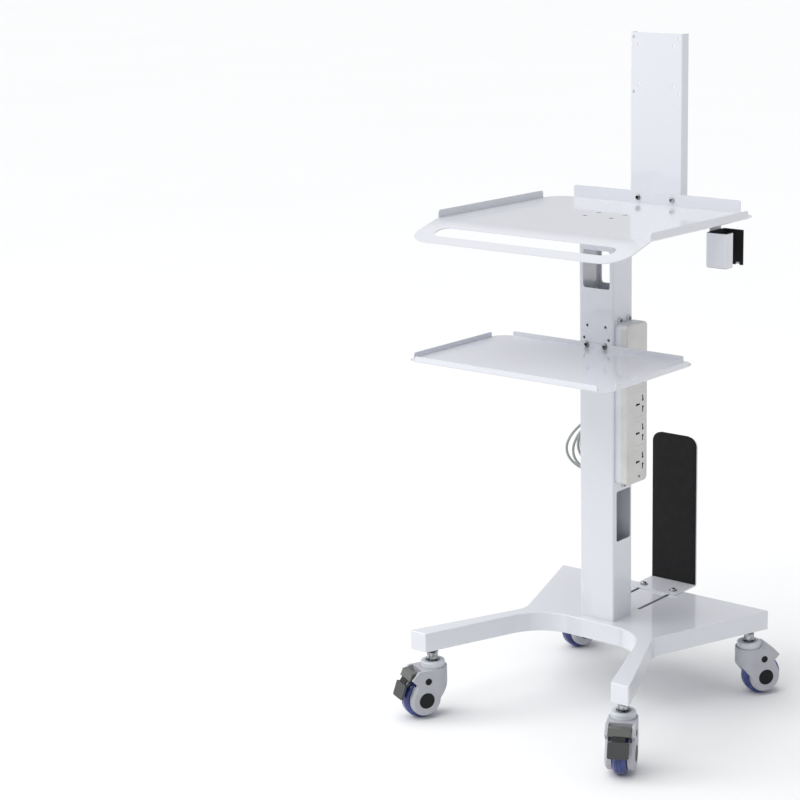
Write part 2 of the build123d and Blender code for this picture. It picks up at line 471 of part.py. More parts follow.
# ---------------------------------------------------------------- probe holder
# a sheet folded to a C in plan, open to the right, hung from a tab under the top tray
CUP_MID_Y, TRAY_UNDER = (CUP_Y0 + CUP_Y1) / 2, TOP_Z - SHEET
with BuildPart() as probe_holder:
    with BuildSketch(Plane.XY.offset(CUP_Z0)) as cup_plan:
        with Locations(((CUP_X0 + CUP_X1) / 2, CUP_MID_Y)):
            RectangleRounded(CUP_X1 - CUP_X0, CUP_Y1 - CUP_Y0, CUP_R)
            RectangleRounded(
                CUP_X1 - CUP_X0 - 2 * SHEET,
                CUP_Y1 - CUP_Y0 - 2 * SHEET,
                CUP_R - SHEET,
                mode=Mode.SUBTRACT,
            )
        with Locations((CUP_X1, (CUP_Y0 + CUP_RETURN + CUP_Y1) / 2)):
            Rectangle(2 * CUP_R, CUP_Y1 - CUP_Y0 - CUP_RETURN, mode=Mode.SUBTRACT)
    extrude(amount=CUP_Z1 - CUP_Z0)
    with BuildSketch(Plane.XZ.offset(-CUP_TAB_Y[1])):
        with BuildLine():
            Polyline(
                (CUP_X0, CUP_Z1 - CUP_TAB_LAP),
                (CUP_X0, TRAY_UNDER - SHEET),
                (CUP_SCREW_X - CUP_SCREW_EDGE, TRAY_UNDER - SHEET),
                (CUP_SCREW_X - CUP_SCREW_EDGE, TRAY_UNDER),
                (CUP_X0 + SHEET, TRAY_UNDER),
                (CUP_X0 + SHEET, CUP_Z1 - CUP_TAB_LAP),
                close=True,
            )
        make_face()
    extrude(amount=CUP_TAB_Y[1] - CUP_TAB_Y[0])
    with BuildSketch(Plane.XY.offset(TRAY_UNDER)):
        with Locations(*[(CUP_SCREW_X, y) for y in CUP_SCREW_Y]):
            Circle(M4_HOLE_R)
    extrude(amount=-SHEET, mode=Mode.SUBTRACT)
save(probe_holder, "probe_holder")

LINING_OUT_X, LINING_OUT_Y = CUP_X1 - CUP_X0 - 2 * SHEET, CUP_Y1 - CUP_Y0 - 2 * SHEET
LINING_BACK_Y = CUP_Y1 - SHEET - CUP_LINING / 2
with BuildPart() as probe_holder_lining:
    with BuildSketch(Plane.XY.offset(CUP_Z0 - LINING_PROUD)):
        with Locations(((CUP_X0 + CUP_X1) / 2, CUP_MID_Y)):
            RectangleRounded(LINING_OUT_X, LINING_OUT_Y, CUP_R - SHEET)
            RectangleRounded(
                LINING_OUT_X - 2 * CUP_LINING,
                LINING_OUT_Y - 2 * CUP_LINING,
                CUP_LINING,
                mode=Mode.SUBTRACT,
            )
        with Locations((CUP_X1 - SHEET, (CUP_Y0 + CUP_RETURN + CUP_Y1 - SHEET - CUP_LINING) / 2)):
            Rectangle(
                3 * CUP_LINING, CUP_Y1 - CUP_Y0 - CUP_RETURN - SHEET - CUP_LINING, mode=Mode.SUBTRACT
            )
        # the back wall of the lining runs out to the cup's open side
        with Locations((CUP_X1 - CUP_LINING, LINING_BACK_Y)):
            Rectangle(2 * CUP_LINING, CUP_LINING)
    extrude(amount=CUP_Z1 - CUP_Z0 + 2 * LINING_PROUD)
    # a notch in the foot of the back wall
    with Locations((NOTCH_X, LINING_BACK_Y, CUP_Z0 - LINING_PROUD)):
        Box(NOTCH_W, 2 * CUP_LINING, NOTCH_H, align=MIN_Z, mode=Mode.SUBTRACT)
save(probe_holder_lining, "probe_holder_lining")

with BuildPart() as probe_holder_screws:
    for y in CUP_SCREW_Y:
        with Locations(Plane((CUP_SCREW_X, y, TRAY_UNDER - SHEET), z_dir=(0, 0, -1))):
            add(button_screw(M4_R, SHEET, 4.0, 2.4, 1.5))
save(probe_holder_screws, "probe_holder_screws")

# ---------------------------------------------------------------- power strip
STRIP_X0, STRIP_FACE = COLUMN_W / 2, COLUMN_W / 2 + STRIP_DEEP
STRIP_MID_Y, STRIP_MID_Z = (STRIP_Y0 + STRIP_Y1) / 2, (STRIP_Z0 + STRIP_Z1) / 2
STRIP_W, STRIP_L = STRIP_Y1 - STRIP_Y0, STRIP_Z1 - STRIP_Z0
SOCKET_PLACES = [(SOCKET_Y, SOCKET_Z0 + i * SOCKET_PITCH) for i in range(SOCKETS)]
LUG_T, LUG_W, LUG_L = 3.0, 12.0, 22.0
with BuildPart() as power_strip_housing:
    with BuildSketch(Plane.YZ.offset(STRIP_X0)):
        with Locations((STRIP_MID_Y, STRIP_MID_Z)):
            RectangleRounded(STRIP_W, STRIP_L, STRIP_R)
    extrude(amount=STRIP_SPLIT)
    with BuildSketch(Plane.YZ.offset(STRIP_X0 + STRIP_WALL)):
        with Locations((STRIP_MID_Y, STRIP_MID_Z)):
            RectangleRounded(STRIP_W - 2 * STRIP_WALL, STRIP_L - 2 * STRIP_WALL, STRIP_R - STRIP_WALL)
    extrude(amount=STRIP_SPLIT, mode=Mode.SUBTRACT)
    # fixing lugs above and below
    with BuildSketch(Plane.YZ.offset(STRIP_X0)):
        for y, z in STRIP_SCREWS:
            inward = LUG_L / 2 - LUG_W / 2
            with Locations((y, z - inward if z > STRIP_MID_Z else z + inward)):
                SlotOverall(LUG_L, LUG_W, rotation=90)
        with Locations((STRIP_MID_Y, STRIP_MID_Z)):
            RectangleRounded(STRIP_W - 1, STRIP_L - 1, STRIP_R, mode=Mode.SUBTRACT)
        with Locations(*STRIP_SCREWS):
            Circle(M4_HOLE_R, mode=Mode.SUBTRACT)
    extrude(amount=LUG_T)
    # the cord's way out through the back
    with BuildSketch(Plane.YZ.offset(STRIP_X0)):
        with Locations((INLET_Y, GLAND_Z)):
            Circle(INLET_R)
    extrude(amount=2 * STRIP_WALL, mode=Mode.SUBTRACT)
save(power_strip_housing, "power_strip_housing")

SOCKET_GAP, SOCKET_SINK, SOCKET_R, SOCKET_T, SOCKET_DEEP = 0.1, 0.1, 4.0, 18.0, 14.0
LAMP_R, LAMP_HOLE_R, LAMP_DEEP = 2.5, 2.6, 6.0
with BuildPart() as power_strip_cover:
    with BuildSketch(Plane.YZ.offset(STRIP_X0 + STRIP_SPLIT)):
        with Locations((STRIP_MID_Y, STRIP_MID_Z)):
            RectangleRounded(STRIP_W, STRIP_L, STRIP_R)
    extrude(amount=STRIP_DEEP - STRIP_SPLIT)
    fillet(power_strip_cover.faces().sort_by(Axis.X)[-1].edges(), STRIP_WALL)
    with BuildSketch(Plane.YZ.offset(STRIP_X0 + STRIP_SPLIT)):
        with Locations((STRIP_MID_Y, STRIP_MID_Z)):
            RectangleRounded(STRIP_W - 2 * STRIP_WALL, STRIP_L - 2 * STRIP_WALL, STRIP_R - STRIP_WALL)
    extrude(amount=STRIP_DEEP - STRIP_SPLIT - STRIP_WALL, mode=Mode.SUBTRACT)
    with BuildSketch(Plane.YZ.offset(STRIP_FACE)):
        with Locations(*SOCKET_PLACES):
            RectangleRounded(SOCKET_W + 2 * SOCKET_GAP, SOCKET_H + 2 * SOCKET_GAP, SOCKET_R)
        with Locations((LAMP_Y, LAMP_Z)):
            Circle(LAMP_HOLE_R)
    extrude(amount=-LAMP_DEEP, mode=Mode.SUBTRACT)
save(power_strip_cover, "power_strip_cover")

# keyhole-shaped pin holes from a socket's middle: y, z, direction that the narrow end points in
KEYHOLES = ((-10.0, 0.0, 0.0), (9.5, 6.6, 97.0), (9.5, -6.6, -97.0))
KEY_R, KEY_W, KEY_L = 2.5, 3.0, 9.5
with BuildPart() as power_strip_sockets:
    with BuildSketch(Plane.YZ.offset(STRIP_FACE - SOCKET_SINK)):
        with Locations(*SOCKET_PLACES):
            RectangleRounded(SOCKET_W, SOCKET_H, SOCKET_R)
    extrude(amount=-SOCKET_T)
    with BuildSketch(Plane.YZ.offset(STRIP_FACE)):
        for y, z in SOCKET_PLACES:
            for key_y, key_z, turn in KEYHOLES:
                with Locations(Location((y + key_y, z + key_z, 0), (0, 0, turn))):
                    Circle(KEY_R)
                    Rectangle(KEY_L, KEY_W, align=(Align.MIN, Align.CENTER))
    extrude(amount=-SOCKET_DEEP, mode=Mode.SUBTRACT)
save(power_strip_sockets, "power_strip_sockets")

with BuildPart() as power_strip_lamp:
    with Locations(Plane((STRIP_FACE - LAMP_DEEP + 1, LAMP_Y, LAMP_Z), z_dir=(1, 0, 0))):
        Cylinder(LAMP_R, LAMP_DEEP - 0.2, align=MIN_Z)
    fillet(power_strip_lamp.faces().sort_by(Axis.X)[-1].edges(), 0.8)
save(power_strip_lamp, "power_strip_lamp")

strip_screw = button_screw(M4_R, LUG_T + COLUMN_WALL + 2, 3.6, 2.2, 1.6)
with BuildPart() as power_strip_screws:
    for y, z in STRIP_SCREWS:
        with Locations(Plane((STRIP_X0 + LUG_T, y, z), z_dir=(1, 0, 0))):
            add(strip_screw)
save(power_strip_screws, "power_strip_screws")

# ---------------------------------------------------------------- power cord
def cord_tube(name, route):
    """Sweep the cord along straight runs joined by tangent arcs, each as large as its runs allow."""
    points = [Vector(*p) for p in route]
    runs = [b - a for a, b in zip(points, points[1:])]
    radii = []
    for before, after in zip(runs, runs[1:]):
        half_turn = radians(before.get_angle(after)) / 2
        radii.append(0.45 * min(before.length, after.length) / tan(half_turn))
    with BuildPart() as tube:
        with BuildLine() as path:
            FilletPolyline(*points, radius=radii)
        with BuildSketch(Plane(origin=path.line @ 0, z_dir=path.line % 0)):
            Circle(CORD_D / 2)
        sweep()
    length = sum(edge.length for edge in path.line.edges())
    ratio = tube.part.volume / (pi * (CORD_D / 2) ** 2 * length)
    print(name, "radii", [round(r, 1) for r in radii])
    print(name, "length", round(length, 1), "volume over section times length", round(ratio, 4))
    save(tube, name)


INNER_START_X, INNER_END_Y = COLUMN_W / 2 + 6, COLUMN_D / 2 - COLUMN_WALL - 2
INNER_ROUTE = [
    (INNER_START_X, INLET_Y, GLAND_Z),
    (GLAND_X, INLET_Y, GLAND_Z),
    (GLAND_X, INNER_END_Y, GLAND_Z),
]
cord_tube("cord_inner", INNER_ROUTE)
cord_tube("cord_lead", LEAD_ROUTE)
cord_tube("cord_tail", TAIL_ROUTE)

GLAND_FLANGE_R, GLAND_FLANGE_T, GLAND_TIP_R = 8.5, 2.5, 3.8
WALL_Y = COLUMN_D / 2
with BuildPart() as cord_gland:
    # a turned section: nut side, neck through the wall, flange and tapering relief
    with BuildSketch(Plane.XY.offset(GLAND_Z)):
        with BuildLine():
            Polyline(
                (GLAND_X, WALL_Y - COLUMN_WALL - 2),
                (GLAND_X + GLAND_NECK_R, WALL_Y - COLUMN_WALL - 2),
                (GLAND_X + GLAND_NECK_R, WALL_Y),
                (GLAND_X + GLAND_FLANGE_R, WALL_Y),
                (GLAND_X + GLAND_FLANGE_R, WALL_Y + GLAND_FLANGE_T),
                (GLAND_X + GLAND_NECK_R, WALL_Y + GLAND_FLANGE_T),
                (GLAND_X + GLAND_TIP_R, GLAND_END),
                (GLAND_X, GLAND_END),
                close=True,
            )
        make_face()
    revolve(axis=Axis((GLAND_X, 0, GLAND_Z), (0, 1, 0)))
save(cord_gland, "cord_gland")


def rounded_outline(corners):
    """A closed face in the XZ plane from corner points, each with its own rounding."""
    with BuildSketch(Plane.XZ.offset(-COIL_Y1)) as outline:
        with BuildLine():
            Polyline(*[(x, z) for x, z, _ in corners], close=True)
        make_face()
        for x, z, radius in corners:
            fillet(outline.vertices().sort_by_distance((x, z))[0], radius)
    return outline.sketch


coil_outer, coil_inner = rounded_outline(COIL_OUTLINE), rounded_outline(COIL_MIDDLE)
with BuildPart() as cord_coil:
    extrude(coil_outer, amount=COIL_Y1 - COIL_Y0)
    extrude(coil_inner, amount=COIL_Y1 - COIL_Y0, mode=Mode.SUBTRACT)
save(cord_coil, "cord_coil")

MOUNT_T, MOUNT_W, MOUNT_H = 4.4, 17.0, 8.0
TIE_MID_Z = (TIE_Z0 + TIE_Z1) / 2
with BuildPart() as cord_tie_mount:
    with BuildSketch(Plane.XZ.offset(-WALL_Y)):
        with Locations((TIE_X, TIE_MID_Z)):
            RectangleRounded(MOUNT_W, MOUNT_H, 1.5)
    extrude(amount=-MOUNT_T)
    # the strap's way through, behind a bridge
    with Locations((TIE_X, TIE_Y0 - TIE_T / 2, TIE_MID_Z)):
        Box(TIE_W + 0.6, TIE_T + 0.4, 2 * MOUNT_H, mode=Mode.SUBTRACT)
save(cord_tie_mount, "cord_tie_mount")

with BuildPart() as cord_tie:
    with BuildSketch(Plane.YZ.offset(TIE_X - TIE_W / 2)):
        with Locations(((TIE_Y0 + TIE_Y1) / 2, TIE_MID_Z)):
            RectangleRounded(TIE_Y1 - TIE_Y0 + 2 * TIE_T, TIE_Z1 - TIE_Z0 + 2 * TIE_T, 3.0)
            RectangleRounded(TIE_Y1 - TIE_Y0, TIE_Z1 - TIE_Z0, 1.8, mode=Mode.SUBTRACT)
    extrude(amount=TIE_W)
save(cord_tie, "cord_tie")

# plug: a moulded body that hangs from the cord, with two slanted pins and a longer upright one
PLUG_X, PLUG_Y, PLUG_TOP = PLUG_PLACE
PLUG_FACE, PLUG_SHOULDER = PLUG_TOP - PLUG_NECK - PLUG_BODY, PLUG_TOP - PLUG_NECK
PIN_SECTION = (1.6, 6.3)
PLUG_PINS = ((-6.9, 4.0, -30, 17.0), (6.9, 4.0, 30, 17.0), (0.0, -7.9, 0, 20.0))  # x, y, turn, length
with BuildPart() as power_plug:
    for height, width, depth, corner in (
        (PLUG_FACE, 29, 25, 7),
        (PLUG_FACE + 0.6 * PLUG_BODY, 26, 20, 7),
        (PLUG_SHOULDER, 12, 11, 4),
    ):
        with BuildSketch(Plane.XY.offset(height)):
            with Locations((PLUG_X, PLUG_Y)):
                RectangleRounded(width, depth, corner)
    loft()
    with Locations((PLUG_X, PLUG_Y, PLUG_SHOULDER)):
        Cone(4.8, 3.4, PLUG_NECK, align=MIN_Z)
    for pin_x, pin_y, turn, length in PLUG_PINS:
        with BuildSketch(Plane.XY.offset(PLUG_FACE)):
            with Locations((PLUG_X + pin_x, PLUG_Y + pin_y)):
                Rectangle(*PIN_SECTION, rotation=turn)
        extrude(amount=-length)
save(power_plug, "power_plug")

# ---------------------------------------------------------------- rear bracket
BRACKET_Z = BASE_TOP + BRACKET_GAP
with BuildPart() as rear_bracket:
    with BuildSketch(Plane.YZ.offset(-BRACKET_HALF)):
        with BuildLine():
            Polyline(
                (BRACKET_Y0, BRACKET_Z),
                (BRACKET_Y1, BRACKET_Z),
                (BRACKET_Y1, BRACKET_TOP),
                (BRACKET_Y1 - BRACKET_SHEET, BRACKET_TOP),
                (BRACKET_Y1 - BRACKET_SHEET, BRACKET_Z + BRACKET_SHEET),
                (BRACKET_Y0, BRACKET_Z + BRACKET_SHEET),
                close=True,
            )
        make_face()
    extrude(amount=2 * BRACKET_HALF)
    heel = rear_bracket.edges().filter_by(Axis.X)
    fillet([e for e in heel if e.center().Y > BRACKET_Y1 - 1 and e.center().Z < BASE_TOP + 1], HEEL_R)
    tops = rear_bracket.edges().filter_by(Axis.Y)
    fillet([e for e in tops if e.center().Z > BRACKET_TOP - 1], PAD_R)
    fronts = rear_bracket.edges().filter_by(Axis.Z)
    fillet([e for e in fronts if e.center().Y < BRACKET_Y0 + 1], TOE_R)
    with BuildSketch(Plane.XY.offset(BRACKET_Z)):
        with Locations((-SLOT_X, BRACKET_BOLT_Y), (SLOT_X, BRACKET_BOLT_Y)):
            Circle(M6_HOLE_R)
    extrude(amount=BRACKET_SHEET, mode=Mode.SUBTRACT)
save(rear_bracket, "rear_bracket")

PAD_Y, PAD_BOTTOM = BRACKET_Y1 - BRACKET_SHEET, BRACKET_Z + BRACKET_SHEET + 0.3
with BuildPart() as rear_pad:
    with BuildSketch(Plane.XZ.offset(-PAD_Y)) as pad_face:
        with Locations((0, (PAD_BOTTOM + PAD_TOP) / 2)):
            Rectangle(2 * PAD_HALF, PAD_TOP - PAD_BOTTOM)
        fillet(pad_face.vertices().group_by(Axis.Y)[-1], PAD_R)
    extrude(amount=PAD_THICK)
save(rear_pad, "rear_pad")

bracket_bolt = button_screw(M6_R, 16.0, 5.4, 3.3, 2.9)
UNDER_SHEET = BASE_TOP - BASE_SHEET - BOTTOM_CLEAR
BOLT_PLACES = ((-SLOT_X, BRACKET_BOLT_Y), (SLOT_X, BRACKET_BOLT_Y))
with BuildPart() as rear_bracket_bolts:
    for x, y in BOLT_PLACES:
        with Locations((x, y, BRACKET_Z + BRACKET_SHEET + WASHER_T)):
            add(bracket_bolt)
    with BuildSketch(Plane.XY.offset(UNDER_SHEET - WASHER_T)):
        with Locations(*BOLT_PLACES):
            RegularPolygon(M6_NUT_R, 6)
    extrude(amount=-M6_NUT_H)
    # washers above the foot and under the sheet, loose on the shanks
    for washer_z in (BRACKET_Z + BRACKET_SHEET, UNDER_SHEET - WASHER_T):
        with BuildSketch(Plane.XY.offset(washer_z)):
            with Locations(*BOLT_PLACES):
                Circle(BRACKET_WASHER_R)
                Circle(M6_HOLE_R, mode=Mode.SUBTRACT)
        extrude(amount=WASHER_T)
save(rear_bracket_bolts, "rear_bracket_bolts")

# ---------------------------------------------------------------- casters
def slab(plane, points, half, inner=0.0):
    """A closed outline in a side plane, as one slab about the middle or as two, from inner to half."""
    with BuildPart() as built:
        for low, high in ((-half, half),) if not inner else ((-half, -inner), (inner, half)):
            with BuildSketch(plane.offset(low)):
                with BuildLine():
                    Polyline(*points, close=True)
                make_face()
            extrude(amount=high - low)
    return built.part


def rod(plane, place, radius, half, bore=0.0):
    """A round bar or tube across the caster, about its middle."""
    with BuildPart() as built:
        with BuildSketch(plane.offset(-half)):
            with Locations(place):
                Circle(radius)
                if bore:
                    Circle(bore, mode=Mode.SUBTRACT)
        extrude(amount=2 * half)
    return built.part


AXLE, BRAKE = (TRAIL, WHEEL_R), (BRAKE_U, BRAKE_Z)
FAR = 80.0  # past the caster's outline


def make_housing(side, plan, braked):
    """The fork: a skirt in front, cheeks round the axle, a sloping tail; open below and behind."""
    with BuildPart() as housing:
        with BuildSketch(side.offset(-HOUSING_HALF)):
            with BuildLine():
                Polyline(*SKIRT, *TAIL)
                ThreePointArc(TAIL[-1], (TRAIL, WHEEL_R - CHEEK_R), SKIRT[0])
            make_face()
        extrude(amount=2 * HOUSING_HALF)
        # plan: round in front, straight behind
        with BuildSketch(plan):
            Circle(HOUSING_HALF)
            with Locations((FAR / 2, 0)):
                Rectangle(FAR, 2 * HOUSING_HALF)
        extrude(amount=2 * HOUSING_TOP, mode=Mode.INTERSECT)
        rims = housing.edges().filter_by(GeomType.CIRCLE).filter_by(
            lambda e: e.radius > CHEEK_R - 1 and e.length > 2 * CHEEK_R and e.center().Z < BRAKE_Z / 2
        )
        chamfer(rims, CHEEK_BEVEL)
        well = ((WELL_U0, -FAR), (WELL_U0, WELL_TOP), (FAR, WELL_TOP), (FAR, -FAR))
        add(slab(side, well, WELL_HALF), mode=Mode.SUBTRACT)
        if braked:
            upper = ((CUT_U, CUT_Z), (CUT_U, 2 * FAR), (FAR, 2 * FAR), (FAR, CUT_Z))
            lower = ((CUT_LOW_U, CUT_LOW_Z), (CUT_LOW_U, FAR), (FAR, FAR), (FAR, CUT_LOW_Z))
            add(slab(side, upper, CUT_HALF), mode=Mode.SUBTRACT)
            add(slab(side, lower, CUT_HALF), mode=Mode.SUBTRACT)
            add(rod(side, BRAKE, BRAKE_PIN_R, BRAKE_PIN_HALF), mode=Mode.SUBTRACT)
        # kingpin bore with a pocket for its head, and the ring's recess
        with BuildSketch(plan.offset(WELL_TOP)):
            Circle(KINGPIN_HEAD_R + 0.5)
        extrude(amount=KINGPIN_HEAD_TOP + 0.4 - WELL_TOP, mode=Mode.SUBTRACT)
        with BuildSketch(plan.offset(WELL_TOP)):
            Circle(KINGPIN_R + RUN)
        extrude(amount=HOUSING_TOP - WELL_TOP, mode=Mode.SUBTRACT)
        with BuildSketch(plan.offset(HOUSING_TOP)):
            Circle(RING_R + RING_RECESS)
        extrude(amount=-RING_RECESS, mode=Mode.SUBTRACT)
        add(rod(side, AXLE, AXLE_R, HOUSING_HALF), mode=Mode.SUBTRACT)
        for end in (-1, 1):
            with BuildSketch(side.offset(end * HOUSING_HALF)):
                with Locations(AXLE):
                    Circle(CAP_R)
                with Locations((PLUG_U, PLUG_Z)):
                    Circle(PLUG_R)
            extrude(amount=-end * CAP_DEPTH, mode=Mode.SUBTRACT)
    return housing


def make_pedal(side):
    """Brake pedal: a sleeve on the pin, two arms, a release tab, a neck and a foot plate."""
    with BuildPart() as pedal:
        add(slab(side, PEDAL_PLATE, PLATE_HALF_W))
        (outer_u, outer_z), (inner_u, inner_z) = PEDAL_PLATE[2:]
        thick = sqrt((outer_u - inner_u) ** 2 + (outer_z - inner_z) ** 2)
        corners = pedal.edges().filter_by(lambda e: abs(e.length - thick) < 0.1)
        fillet(corners, 3.5)
        add(slab(side, PEDAL_TAB, TAB_HALF_W))
        add(slab(side, PEDAL_NECK, NECK_HALF_W))
        add(slab(side, PEDAL_ARM, SLEEVE_HALF, ARM_INNER))
        add(rod(side, BRAKE, SLEEVE_R, SLEEVE_HALF))
        add(rod(side, BRAKE, BRAKE_PIN_R + RUN, TAB_HALF_W), mode=Mode.SUBTRACT)
    return pedal


def caster(name, stem_x, stem_y, heading, braked):
    """Write one caster's housing, axle, caps, hub, tyre and brake parts."""
    back = (cos(radians(heading)), sin(radians(heading)), 0)
    across = (back[1], -back[0], 0)
    foot = (stem_x, stem_y, 0)
    side = Plane(foot, x_dir=back, z_dir=across)
    plan = Plane(foot, x_dir=back, z_dir=(0, 0, 1))
    save(make_housing(side, plan, braked), f"caster_{name}_housing")

    with BuildPart() as axle:
        add(rod(side, AXLE, AXLE_R, HOUSING_HALF - CAP_DEPTH))
    save(axle, f"caster_{name}_axle")

    with BuildPart() as caps:
        for end in (-1, 1):
            with BuildSketch(side.offset(end * (HOUSING_HALF - CAP_DEPTH))):
                with Locations(AXLE):
                    Circle(CAP_R)
                with Locations((PLUG_U, PLUG_Z)):
                    Circle(PLUG_R)
            extrude(amount=end * (CAP_DEPTH + CAP_PROUD))
    save(caps, f"caster_{name}_caps")

    with BuildPart() as hub:
        add(rod(side, AXLE, HUB_R, HUB_HALF, AXLE_R + RUN))
        add(rod(side, AXLE, RIM_R, HUB_HALF - HUB_STEP, HUB_R))
    save(hub, f"caster_{name}_hub")

    with BuildPart() as tyre:
        add(rod(side, AXLE, WHEEL_R, TYRE_HALF))
        fillet(tyre.edges().filter_by(GeomType.CIRCLE), TYRE_ROUND)
        add(rod(side, AXLE, RIM_R, TYRE_HALF), mode=Mode.SUBTRACT)
    save(tyre, f"caster_{name}_tyre")

    if braked:
        save(make_pedal(side), f"caster_{name}_pedal")
        with BuildPart() as brake_pin:
            add(rod(side, BRAKE, BRAKE_PIN_R, BRAKE_PIN_HALF))
        save(brake_pin, f"caster_{name}_brake_pin")


for caster_args in CASTERS:
    caster(*caster_args)
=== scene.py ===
"""Looks of the ultrasound trolley: finishes, rounded sheet edges, the coiled power cord and small details.

Everything is in metres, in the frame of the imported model: the origin is on the floor under the column,
+X is to the right of a person who faces the front, the front faces -Y, +Z is up.
"""

import json
from math import cos, exp, pi, radians, sin

import bmesh
import bpy
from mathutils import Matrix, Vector, noise


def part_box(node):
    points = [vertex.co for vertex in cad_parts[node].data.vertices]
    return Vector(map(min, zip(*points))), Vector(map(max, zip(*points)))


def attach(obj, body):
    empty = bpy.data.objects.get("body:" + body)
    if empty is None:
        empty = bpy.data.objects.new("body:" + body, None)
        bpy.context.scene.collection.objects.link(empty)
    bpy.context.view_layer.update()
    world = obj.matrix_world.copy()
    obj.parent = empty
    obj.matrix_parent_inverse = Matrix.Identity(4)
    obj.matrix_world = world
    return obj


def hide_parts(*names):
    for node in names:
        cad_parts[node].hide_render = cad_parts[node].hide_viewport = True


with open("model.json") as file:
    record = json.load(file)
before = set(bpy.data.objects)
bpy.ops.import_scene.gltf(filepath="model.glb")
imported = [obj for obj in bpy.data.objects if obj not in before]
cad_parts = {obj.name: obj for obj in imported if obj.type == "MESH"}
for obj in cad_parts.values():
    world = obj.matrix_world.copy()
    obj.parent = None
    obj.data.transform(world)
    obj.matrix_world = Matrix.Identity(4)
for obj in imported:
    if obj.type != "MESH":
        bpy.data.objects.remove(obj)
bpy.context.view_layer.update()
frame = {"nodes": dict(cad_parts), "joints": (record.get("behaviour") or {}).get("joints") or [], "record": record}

scene = bpy.context.scene
SLOT_OF = {part["node"]: part["material_slot"] for part in frame["record"]["subparts"]}
BODY_OF = {node: body for body, nodes in frame["record"]["behaviour"]["bodies"].items() for node in nodes}
MM = 0.001

# ---------------------------------------------------------------- camera
CAMERA_PLACE = Vector((2.134, -3.018, 1.481))
CAMERA_AZIMUTH, CAMERA_PITCH = radians(35.09), radians(13.70)
LENS, SHIFT_X = 93.2, -0.265


def make_camera():
    """The photograph's camera, level from side to side, with the picture slid across by a lens shift."""
    data = bpy.data.cameras.new("camera")
    data.sensor_width = 36.0
    data.lens = LENS
    data.shift_x = SHIFT_X
    data.clip_start, data.clip_end = 0.05, 200.0
    camera = bpy.data.objects.new("camera", data)
    scene.collection.objects.link(camera)
    camera.location = CAMERA_PLACE
    back = Vector((
        sin(CAMERA_AZIMUTH) * cos(CAMERA_PITCH),
        -cos(CAMERA_AZIMUTH) * cos(CAMERA_PITCH),
        sin(CAMERA_PITCH),
    ))
    camera.rotation_mode = "QUATERNION"
    camera.rotation_quaternion = (-back).to_track_quat("-Z", "Y")
    scene.camera = camera


make_camera()

# ---------------------------------------------------------------- materials


class Shader:
    """A Principled material whose colour, roughness and bump come from procedural nodes."""

    def __init__(self, name, color, roughness, **sockets):
        self.material = bpy.data.materials.new(name)
        self.material.use_nodes = True
        self.tree = self.material.node_tree
        self.surface = self.tree.nodes["Principled BSDF"]
        self.coordinates = self.tree.nodes.new("ShaderNodeTexCoord").outputs["Object"]
        self.color = color
        self.set("Base Color", (*color, 1.0))
        self.set("Roughness", roughness)
        for socket, value in sockets.items():
            self.set(socket.replace("_", " "), value)

    def set(self, socket, value):
        self.surface.inputs[socket].default_value = value

    def node(self, kind, **values):
        made = self.tree.nodes.new("ShaderNode" + kind)
        for key, value in values.items():
            if key in made.inputs:
                made.inputs[key].default_value = value
            else:
                setattr(made, key, value)
        return made

    def link(self, source, target):
        self.tree.links.new(source, target)

    def stretched(self, scale):
        """Object coordinates multiplied along each axis."""
        mapping = self.node("Mapping", Scale=scale)
        self.link(self.coordinates, mapping.inputs["Vector"])
        return mapping.outputs["Vector"]

    def noise(self, scale, detail=3.0, stretch=(1, 1, 1)):
        texture = self.node("TexNoise", Scale=scale, Detail=detail)
        self.link(self.stretched(stretch), texture.inputs["Vector"])
        return texture.outputs["Fac"]

    def ramp(self, value, low, high, low_at=0.3, high_at=0.7):
        """Maps a texture onto a range of numbers."""
        span = self.node("MapRange")
        for key, number in (("From Min", low_at), ("From Max", high_at), ("To Min", low), ("To Max", high)):
            span.inputs[key].default_value = number
        self.link(value, span.inputs["Value"])
        return span.outputs["Result"]

    def tint(self, value, factor):
        """Varies the base colour towards a darker or lighter one, by a texture."""
        mix = self.node("MixRGB")
        mix.inputs["Color1"].default_value = (*self.color, 1.0)
        mix.inputs["Color2"].default_value = (*[min(1.0, c * factor) for c in self.color], 1.0)
        self.link(value, mix.inputs["Fac"])
        self.link(mix.outputs["Color"], self.surface.inputs["Base Color"])

    def vary_roughness(self, value, low, high):
        self.link(self.ramp(value, low, high), self.surface.inputs["Roughness"])

    def bump(self, value, strength, distance):
        bump = self.node("Bump", Strength=strength, Distance=distance)
        self.link(value, bump.inputs["Height"])
        before = self.surface.inputs["Normal"].links
        if before:
            self.link(before[0].from_socket, bump.inputs["Normal"])
        self.link(bump.outputs["Normal"], self.surface.inputs["Normal"])


def powder_coat():
    """Glossy white powder coat: fine orange peel and a clear top that mirrors what stands on it."""
    s = Shader("white_coat", (0.685, 0.697, 0.745), 0.32, Coat_Weight=0.9, Coat_Roughness=0.035)
    s.set("Coat IOR", 1.65)
    s.tint(s.ramp(s.noise(2.2, 2.0), 0.0, 1.0, 0.2, 0.8), 0.985)
    s.vary_roughness(s.noise(14.0, 1.0), 0.295, 0.36)
    s.bump(s.noise(330.0, 1.0), 0.06, 0.0001)
    return s.material


def zinc():
    """Bright zinc plating: cloudy patches of light and dark, and a fine grain."""
    s = Shader("zinc", (0.50, 0.515, 0.535), 0.20, Metallic=1.0)
    s.tint(s.ramp(s.noise(160.0, 3.0), 0.0, 1.0, 0.38, 0.62), 0.30)
    s.vary_roughness(s.noise(300.0, 3.0), 0.10, 0.26)
    s.bump(s.noise(2200.0, 2.0, (1, 1, 6)), 0.12, 0.0001)
    return s.material


